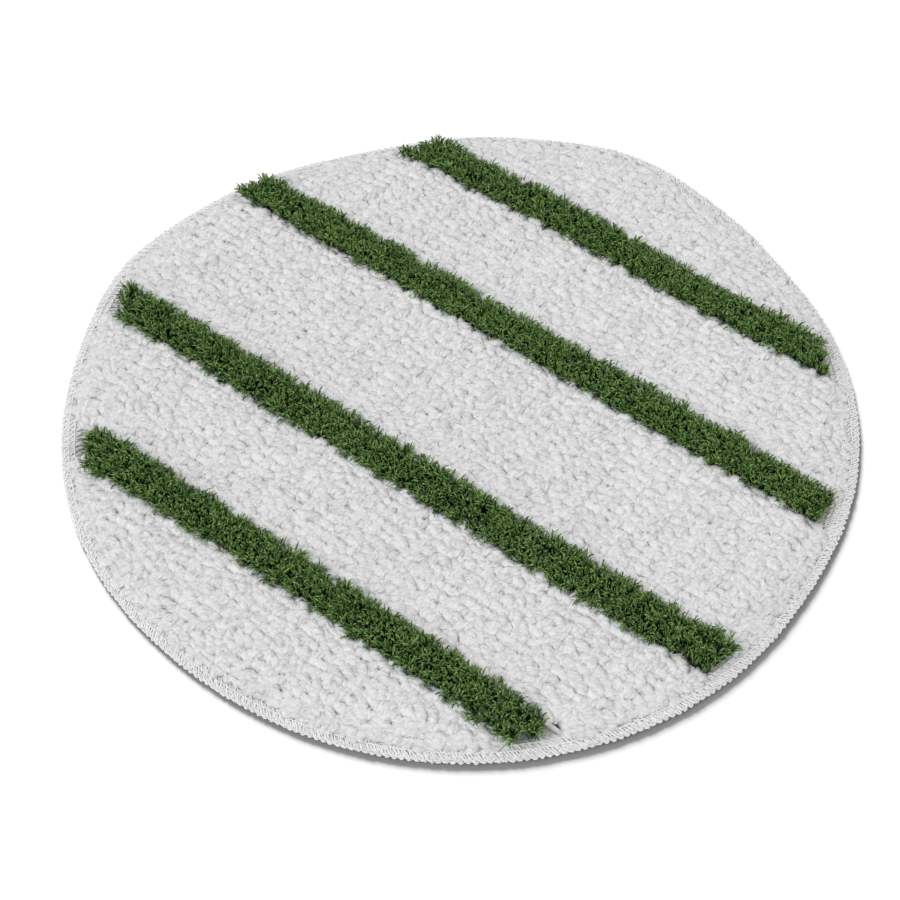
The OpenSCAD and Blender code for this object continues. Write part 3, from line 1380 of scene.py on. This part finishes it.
@dataclass
class OverlockEdge:
    """The threads that bind the rim: two looper threads and two needle threads."""

    seed: int = 71
    stitches: int = 376
    thread: float = 1.1 * MM  # radius
    strands: int = 3  # that a looper thread is loosely spun from
    strand_share: float = 0.5  # of the thread's radius
    strand_spread: float = 0.85  # sideways, of the thread's radius
    strand_rise: float = 0.4  # up and down, of the thread's radius
    strand_stray: float = 0.15  # of the thread's radius
    strand_turns: float = 1.3  # a stitch
    rim_inset: float = 1.3  # of a looper thread's middle at the rim, of its radius
    needle: float = 0.42 * MM  # radius
    needle_steps: int = 6  # points to a stitch
    needle_sink: float = 0.5 * MM  # of a stitch's ends over the solid's foot
    needle_arch: float = 0.7 * MM  # rise of a stitch's middle over its ends
    needle_wander: float = 0.12 * MM  # sideways
    steps: int = 2  # samples to a control point
    sides: int = 5
    halves: int = 2  # pieces that a looper thread is divided into
    outer_node: str = "lower_looper_thread"

    def radius(self) -> float:
        """Return the radius over the edge."""
        low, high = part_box(self.outer_node)
        return (high[0] - low[0]) / 2

    def looper_route(self, face: Face) -> np.ndarray:
        """Return one stitch of a looper thread.

        Args:
            face: The face of the cloth that it covers.

        Returns:
            Listed points as share of a stitch, distance in from the rim and
            height over the middle of the cloth in mm, and share of the
            thread's thickness, which is more where the rim's beads are.
        """
        if face is Face.TOP:
            return np.array(
                [
                    (0.00, 0.4, 1.10, 0.85),
                    (-0.22, 2.4, 1.35, 0.95),
                    (-0.55, 5.2, 1.45, 1.00),
                    (-0.90, 8.0, 1.35, 1.00),
                    (-1.20, 10.1, 1.10, 0.85),
                    (-1.16, 10.6, 1.00, 0.75),
                    (-0.88, 9.2, 1.55, 0.90),
                    (-0.42, 6.6, 2.10, 1.00),
                    (0.00, 3.9, 2.10, 1.00),
                    (0.26, 1.6, 1.70, 0.85),
                    (0.50, 0.3, 1.05, 0.80),
                    (0.76, 0.1, 0.85, 0.80),
                ]
            )
        return np.array(
            [
                (0.00, 0.6, -0.90, 0.95),
                (0.10, 2.0, -1.20, 0.95),
                (0.18, 5.0, -1.20, 0.95),
                (0.22, 8.0, -1.15, 0.95),
                (0.30, 9.9, -0.95, 0.95),
                (0.42, 10.1, -0.90, 0.95),
                (0.50, 8.4, -1.15, 0.95),
                (0.56, 5.0, -1.20, 0.95),
                (0.60, 2.2, -1.20, 0.95),
                (0.68, 0.9, -0.90, 0.95),
                (0.76, 0.0, -0.10, 0.95),
                (0.90, 0.0, 0.10, 0.95),
            ]
        )

    def round_the_rim(
        self, route: np.ndarray, middle: float, rng: np.random.Generator
    ) -> tuple[np.ndarray, np.ndarray]:
        """Repeat one stitch round the rim and smooth it to a thread's path.

        Args:
            route: One stitch's points, whose last leads to the next one's first.
            middle: Height of the middle of the cloth.
            rng: Source of the stitches' small differences.

        Returns:
            The closed path's points, n by 3, and the thread's radius at each.
        """
        stitch = np.repeat(np.arange(self.stitches), len(route))
        points = np.tile(route, (self.stitches, 1))
        points = points + rng.normal(0, 1, points.shape) * STITCH_STRAY
        along = (stitch + points[:, 0]) / self.stitches * 2 * math.pi
        inward = self.radius() - self.thread * self.rim_inset - points[:, 1] * MM
        level = middle + points[:, 2] * MM
        thick = self.thread * points[:, 3]
        here = np.stack([inward * np.cos(along), inward * np.sin(along), level, thick], 1)
        before, after, later = np.roll(here, 1, 0), np.roll(here, -1, 0), np.roll(here, -2, 0)
        path = []
        for step in range(self.steps):
            t = step / self.steps
            straight = 2 * here + (after - before) * t
            curved = (2 * before - 5 * here + 4 * after - later) * t**2
            closing = (3 * here - before - 3 * after + later) * t**3
            path.append((straight + curved + closing) / 2)
        smooth = np.stack(path, 1).reshape(-1, 4)
        return smooth[:, :3], smooth[:, 3]

    def add_thread(
        self,
        draft: Draft,
        path: np.ndarray,
        radius: np.ndarray,
        per_stitch: int,
        part: slice = slice(None),
    ) -> None:
        """Add a thread that runs all the way round, with a map cell for each stitch.

        Args:
            draft: The piece that it goes into.
            path: The closed path's points.
            radius: The thread's radius at each.
            per_stitch: Points to a stitch.
            part: The stitches that the piece takes.
        """
        ends = np.concatenate([path[-1:], path, path[:2]])
        thick = np.concatenate([radius[-1:], radius, radius[:2]])
        away = ends * np.array([0.02, 0.02, 0.0]) + UP  # never along the thread
        rings = sweep(ends[None], away[None], thick[None], self.sides)[0, 1:-1]
        stitches = len(path) // per_stitch
        start = np.arange(stitches)[part, None] * per_stitch + np.arange(per_stitch + 1)[None]
        tone = np.random.default_rng(self.seed).random(stitches)[part]
        add_tubes(draft, rings[start], tone, np.full(per_stitch + 1, 1.0), capped=False)

    def spin(
        self, path: np.ndarray, radius: np.ndarray, strand: int, rng: np.random.Generator
    ) -> tuple[np.ndarray, np.ndarray]:
        """Return one of the strands that a looper thread is spun from.

        Args:
            path: The thread's closed path.
            radius: The thread's radius at each point.
            strand: Number of the strand.
            rng: Source of its straying.

        Returns:
            The strand's closed path, and its radius at each point.
        """
        ahead = np.roll(path, -1, 0) - np.roll(path, 1, 0)
        ahead /= np.linalg.norm(ahead, axis=1, keepdims=True)
        side = np.cross(ahead, UP)
        side /= np.maximum(np.linalg.norm(side, axis=1, keepdims=True), 0.2)
        over = np.cross(side, ahead)
        turns = round(self.strand_turns * self.stitches)
        phase = np.arange(len(path)) / len(path) * turns + strand / self.strands
        phase = phase * 2 * math.pi
        stray = rng.normal(0, self.strand_stray, (2, len(path)))
        across = (np.cos(phase) * self.strand_spread + stray[0]) * radius
        up = (np.sin(phase) * self.strand_rise + stray[1]) * radius
        return path + side * across[:, None] + over * up[:, None], radius * self.strand_share

    def build_looper(self, name: str, face: Face, part: int, lie: Lie) -> bpy.types.Object:
        """Make one part of a looper thread.

        Args:
            name: Name of the piece.
            face: The face of the cloth that it covers.
            part: Number of the part.
            lie: How the pad lies.

        Returns:
            The piece.
        """
        low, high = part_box("backing_cloth")
        rng = np.random.default_rng(self.seed + len(face.value))
        route = self.looper_route(face)
        path, radius = self.round_the_rim(route, (low[2] + high[2]) / 2, rng)
        cuts = np.linspace(0, self.stitches, self.halves + 1).astype(int)
        taken = slice(cuts[part], cuts[part + 1])
        draft = Draft()
        for strand in range(self.strands):
            spun, thin = self.spin(path, radius, strand, rng)
            spun[:, 2] = np.maximum(spun[:, 2], thin)  # pressed flat on the floor
            self.add_thread(draft, spun, thin, len(route) * self.steps, taken)
        return draft.piece(name, lie)

    def build_needle(self, name: str, node: str, lie: Lie) -> bpy.types.Object:
        """Make a needle thread: short stitches that press the looper thread down.

        Args:
            name: Name of the piece.
            node: The solid whose place it takes.
            lie: How the pad lies.

        Returns:
            The piece.
        """
        low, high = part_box(node)
        ring = (high[0] - low[0]) / 2 - self.needle
        count = self.stitches * self.needle_steps
        share = np.arange(count) / self.needle_steps
        arch = np.abs(np.sin(share * math.pi)) ** 0.6
        angle = share / self.stitches * 2 * math.pi
        level = low[2] + self.needle_sink + arch * self.needle_arch
        out = ring + self.needle_wander * np.sin(share * 2.7)
        path = np.stack([out * np.cos(angle), out * np.sin(angle), level], 1)
        draft = Draft()
        self.add_thread(draft, path, np.full(count, self.needle), self.needle_steps)
        return draft.piece(name, lie)


# ---------------------------------------------------------------- the studio


@dataclass
class Studio:
    """The camera, a white floor, and soft light from the front left."""

    azimuth: float = 37.57  # degrees round from -Y, towards +X
    elevation: float = 52.07  # degrees
    roll: float = -0.40  # degrees
    distance: float = 1.3267  # from the aim
    aim: tuple[float, float, float] = (0.0110, -0.0245, 0.0)
    focal_px: float = 2210.0  # the photograph's focal length in its own pixels
    frame_px: float = 900.0  # its width
    sensor: float = 36.0
    sky: float = 0.76  # strength of the world's light
    sun: float = 0.70  # strength of the pad's lamp
    sun_size: float = 25.0  # degrees across
    sun_height: float = 46.0  # degrees
    sun_side: float = 62.0  # degrees to the left of the camera's own side
    floor_sun: float = 16.0  # strength of the floor's lamp
    floor_sun_side: float = 158.0
    floor_sun_size: float = 26.0  # degrees across
    floor_sun_height: float = 32.0  # degrees
    floor_white: float = 0.3
    floor_half: float = 4.0  # half the floor's width
    floor_drop: float = 0.2 * MM  # under the pad's back, so that the two never meet

    def place_camera(self) -> None:
        """Put the camera where the photograph was taken from."""
        data = bpy.data.cameras.new("camera")
        data.sensor_width = self.sensor
        data.lens = self.focal_px / self.frame_px * self.sensor
        camera = bpy.data.objects.new("camera", data)
        turn, up = math.radians(self.azimuth), math.radians(self.elevation)
        back = Vector((math.sin(turn) * math.cos(up), -math.cos(turn) * math.cos(up), math.sin(up)))
        right = Vector((math.cos(turn), math.sin(turn), 0.0))
        over = back.cross(right)
        axes = Matrix((right, over, back)).transposed().to_4x4()
        axes = axes @ Matrix.Rotation(math.radians(self.roll), 4, "Z")
        camera.matrix_world = Matrix.Translation(Vector(self.aim) + back * self.distance) @ axes
        bpy.context.scene.collection.objects.link(camera)
        bpy.context.scene.camera = camera
        bpy.context.scene.view_settings.view_transform = "Standard"

    def light(self) -> None:
        """Light the pad with a pale sky and one broad lamp."""
        world = bpy.data.worlds.new("sky")
        world.use_nodes = True
        tree = world.node_tree
        sky = tree.nodes["Background"]
        sky.inputs["Color"].default_value = (1.0, 1.0, 1.0, 1.0)
        sky.inputs["Strength"].default_value = self.sky
        seen = add_node(tree, "Background", Color=(1.0, 1.0, 1.0, 1.0), Strength=1.0)
        paths = add_node(tree, "LightPath")
        glossy, clear = paths.outputs["Is Glossy Ray"], paths.outputs["Is Transmission Ray"]
        mirrored = calculate(tree, "MAXIMUM", glossy, clear)
        shown = calculate(tree, "MAXIMUM", paths.outputs["Is Camera Ray"], mirrored)
        mixed = add_node(tree, "MixShader", Fac=shown)
        tree.links.new(sky.outputs[0], mixed.inputs[1])
        tree.links.new(seen.outputs[0], mixed.inputs[2])
        tree.links.new(mixed.outputs[0], tree.nodes["World Output"].inputs["Surface"])
        bpy.context.scene.world = world
        self.add_sun("broad lamp", self.sun, self.sun_size, self.sun_height, self.sun_side)

    def add_sun(
        self, name: str, energy: float, size: float, height: float, side: float
    ) -> bpy.types.Object:
        """Add a lamp that stands far off.

        Args:
            name: Name of the lamp.
            energy: Its strength.
            size: How broad it looks, in degrees.
            height: Its height over the floor, in degrees.
            side: How far it stands to the left of the camera's own side, in degrees.

        Returns:
            The lamp.
        """
        data = bpy.data.lights.new(name, "SUN")
        data.energy = energy
        data.angle = math.radians(size)
        lamp = bpy.data.objects.new(name, data)
        turn, up = math.radians(self.azimuth - side), math.radians(height)
        way = Vector((math.sin(turn) * math.cos(up), -math.cos(turn) * math.cos(up), math.sin(up)))
        lamp.rotation_euler = way.to_track_quat("Z", "Y").to_euler()
        bpy.context.scene.collection.objects.link(lamp)
        return lamp

    def lay_floor(self) -> bpy.types.Object:
        """Lay a white floor that keeps the pad's shadow.

        Returns:
            The floor.
        """
        half = self.floor_half
        corners = [(-half, -half, 0), (half, -half, 0), (half, half, 0), (-half, half, 0)]
        mesh = bpy.data.meshes.new("floor")
        mesh.from_pydata(corners, [], [range(len(corners))])
        floor = bpy.data.objects.new("floor", mesh)
        floor.location.z = -self.floor_drop
        bpy.context.scene.collection.objects.link(floor)
        material = bpy.data.materials.new("white floor")
        material.use_nodes = True
        tree = material.node_tree
        shader = tree.nodes["Principled BSDF"]
        shader.inputs["Roughness"].default_value = 1.0
        shader.inputs["Specular IOR Level"].default_value = 0.0
        shader.inputs["Base Color"].default_value = (*[self.floor_white] * 3, 1.0)
        mesh.materials.append(material)
        return floor

    def shade_floor(self, floor: bpy.types.Object, edge: list[bpy.types.Object]) -> None:
        """Light the floor with a lamp of its own, which leaves the pad's edge dark beside it.

        Args:
            floor: The floor.
            edge: The pieces that keep this lamp's light off it.
        """
        lamp = self.add_sun(
            "floor lamp",
            self.floor_sun,
            self.floor_sun_size,
            self.floor_sun_height,
            self.floor_sun_side,
        )
        for label, members in (("receiver", [floor]), ("blocker", edge)):
            group = bpy.data.collections.new(f"floor lamp {label}")
            for member in members:
                group.objects.link(member)
            setattr(lamp.light_linking, f"{label}_collection", group)


# ---------------------------------------------------------------- the whole


def settle(
    piece: bpy.types.Object, node: str, material: bpy.types.Material
) -> bpy.types.Object:
    """Give a piece its finish, hang it on the pad's body and hide the solid that it stands for.

    Args:
        piece: The new piece.
        node: The solid that it replaces.
        material: The piece's finish.

    Returns:
        The piece.
    """
    piece.data.materials.append(material)
    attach(piece, BODY)
    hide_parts(node)
    LOG.info("%s: %d faces in place of %s", piece.name, len(piece.data.polygons), node)
    return piece


@dataclass
class Bonnet:
    """The whole pad, made yarn by yarn and thread by thread."""

    row_pitch: float = 6.95 * MM
    row_width: float = 6.3 * MM
    foot_width: float = 5.8 * MM
    stitch_width: float = 5.2 * MM
    pile_inset: float = 10.5 * MM
    overlap: float = 2.4 * MM  # that the rows reach out over the binding
    strip_overlap: float = -1.5 * MM  # the same of the strips, which end short of it
    bands: int = 5
    edge: OverlockEdge = field(default_factory=OverlockEdge)

    def rows(self, node: str, width: float, overlap: float) -> Rows:
        """Return the yarn rows of a node whose rows are this wide."""
        radius = self.edge.radius() - self.pile_inset
        return Rows(node, radius, self.row_pitch, width, overlap)

    def build(self) -> list[bpy.types.Object]:
        """Returns:
            The cloth and the threads that bind its rim.
        """
        lie = Lie(self.edge.radius(), RIM_WAVES)
        yarns = [*self.build_bands(lie), *self.build_strips(lie)]
        threads = self.build_edge(lie)
        cloth = Backing().build("woven_backing", lie)
        settle(cloth, "backing_cloth", ClothFinish().material())
        return [cloth, *threads]

    def build_bands(self, lie: Lie) -> list[bpy.types.Object]:
        """Build the looped pile and its stitches on the back.

        Args:
            lie: How the pad lies.

        Returns:
            The pieces.
        """
        finish, pieces = LOOP_YARN.material(), []
        for i in range(1, self.bands + 1):
            node = f"pile_band_{i}"
            band = PileBand(self.rows(node, self.row_width, self.overlap), seed=10 + i)
            for part, places in enumerate(band.parts(), 1):
                pile = band.build(f"looped_pile_{i}_{part}", lie, places, part)
                pieces.append(settle(pile, node, finish))
            node = f"band_back_stitch_{i}"
            rows = self.rows(node, self.stitch_width, self.overlap)
            back = BackStitches(rows, seed=30 + i).build(f"back_stitches_{i}", lie)
            pieces.append(settle(back, node, finish))
        return pieces

    def build_strips(self, lie: Lie) -> list[bpy.types.Object]:
        """Build the scrub strips and their stitches on the back.

        Args:
            lie: How the pad lies.

        Returns:
            The pieces.
        """
        finish, pieces = SCRUB_YARN.material(), []
        for i, shape in enumerate(STRIP_SHAPES, 1):
            node = f"scrub_strip_{i}"
            rows = self.rows(node, self.foot_width, self.strip_overlap)
            strip = ScrubStrip(rows, seed=50 + i, shape=shape).build(f"scrub_pile_{i}", lie)
            pieces.append(settle(strip, node, finish))
            node = f"strip_back_stitch_{i}"
            rows = self.rows(node, self.stitch_width, self.overlap)
            back = BackStitches(rows, seed=60 + i).build(f"scrub_back_stitches_{i}", lie)
            pieces.append(settle(back, node, finish))
        return pieces

    def build_edge(self, lie: Lie) -> list[bpy.types.Object]:
        """Build the threads that bind the rim.

        Args:
            lie: How the pad lies.

        Returns:
            The pieces.
        """
        finish, pieces = EDGE_THREAD.material(), []
        for face, node in ((Face.TOP, "upper_looper_thread"), (Face.BACK, "lower_looper_thread")):
            for part in range(self.edge.halves):
                name = f"looper_thread_{face.value}_{part + 1}"
                looper = self.edge.build_looper(name, face, part, lie)
                pieces.append(settle(looper, node, finish))
        for side in ("outer", "inner"):
            node = f"{side}_needle_thread"
            needle = self.edge.build_needle(f"needle_thread_{side}", node, lie)
            pieces.append(settle(needle, node, finish))
        return pieces


def main() -> None:
    """Build the studio and the pad, and report each piece."""
    logging.basicConfig(level=logging.INFO, format="%(name)s: %(message)s")
    studio = Studio()
    studio.place_camera()
    studio.light()
    floor = studio.lay_floor()
    studio.shade_floor(floor, Bonnet().build())


if __name__ == "__main__":
    main()
